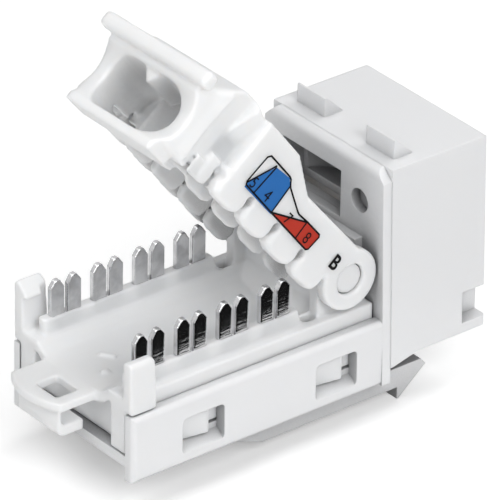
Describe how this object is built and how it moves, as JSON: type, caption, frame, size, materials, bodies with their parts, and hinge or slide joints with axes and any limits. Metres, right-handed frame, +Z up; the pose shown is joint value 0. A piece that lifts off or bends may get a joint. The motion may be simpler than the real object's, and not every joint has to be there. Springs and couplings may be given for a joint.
{
  "type": "keystone jack",
  "caption": "White snap-in modular jack with a plug port, a springy latch, slotted wire contacts and a hinged wire cap.",
  "frame": {"origin": "port face, on the centre line, level with the underside of the front housing", "axes": "+X out of the plug port, +Y to the far side, +Z up towards the fixed lugs"},
  "size_m": [0.0391, 0.0156, 0.0354],
  "materials": {
    "white_plastic": "satin moulded",
    "cap_plastic": "satin moulded",
    "board_laminate": "satin",
    "carrier_plastic": "satin",
    "gold_plate": "polished",
    "tin_plate": "polished"
  },
  "bodies": {
    "jack": {"front_housing": "white_plastic", "rear_shell": "white_plastic", "idc_tray": "white_plastic", "circuit_board": "board_laminate", "contact_carrier": "carrier_plastic", "jack_wire_1": "gold_plate", "jack_wire_2": "gold_plate", "jack_wire_3": "gold_plate", "jack_wire_4": "gold_plate", "jack_wire_5": "gold_plate", "jack_wire_6": "gold_plate", "jack_wire_7": "gold_plate", "jack_wire_8": "gold_plate", "idc_contact_near_1": "tin_plate", "idc_contact_far_1": "tin_plate", "idc_contact_near_2": "tin_plate", "idc_contact_far_2": "tin_plate", "idc_contact_near_3": "tin_plate", "idc_contact_far_3": "tin_plate", "idc_contact_near_4": "tin_plate", "idc_contact_far_4": "tin_plate"},
    "cap": {"wire_cap": "cap_plastic"},
    "latch": {"latch_arm": "white_plastic"}
  },
  "joints": [
    {"name": "cap_hinge", "type": "hinge", "parent": "jack", "child": "cap", "pos_m": [-0.0133, 0, 0.00825], "axis": [0, 1, 0], "range_deg": [-51, 37]},
    {"name": "latch_flex", "type": "hinge", "parent": "jack", "child": "latch", "pos_m": [-0.027, 0, -0.0013], "axis": [0, -1, 0], "range_deg": [0, 3.8], "stiffness_Nm_per_rad": 1.5}
  ]
}
